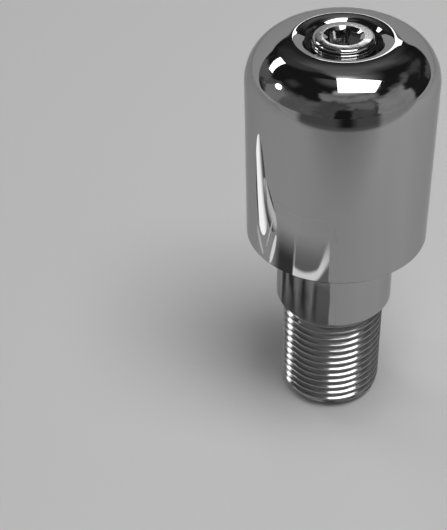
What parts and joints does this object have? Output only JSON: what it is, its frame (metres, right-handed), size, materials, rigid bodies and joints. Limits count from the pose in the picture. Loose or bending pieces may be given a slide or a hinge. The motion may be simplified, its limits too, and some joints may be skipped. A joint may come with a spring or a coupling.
{
  "type": "bar end weight",
  "caption": "Chromed handlebar end weight: domed cylindrical head with a recessed socket cap screw, a plain neck and a threaded stud that screws into the bar.",
  "frame": {"origin": "centre of the end face of the threaded stud, on which the part stands", "axes": "+Z along the part's axis, from the stud towards the domed head"},
  "size_m": [0.031, 0.031, 0.073],
  "materials": {
    "body_chrome": "bright chrome plate, mirror polished",
    "screw_chrome": "chrome plate over a forged and knurled screw head, fine handling scratches"
  },
  "bodies": {
    "root": {"weight_body": "body_chrome", "cap_screw": "screw_chrome"}
  },
  "joints": []
}
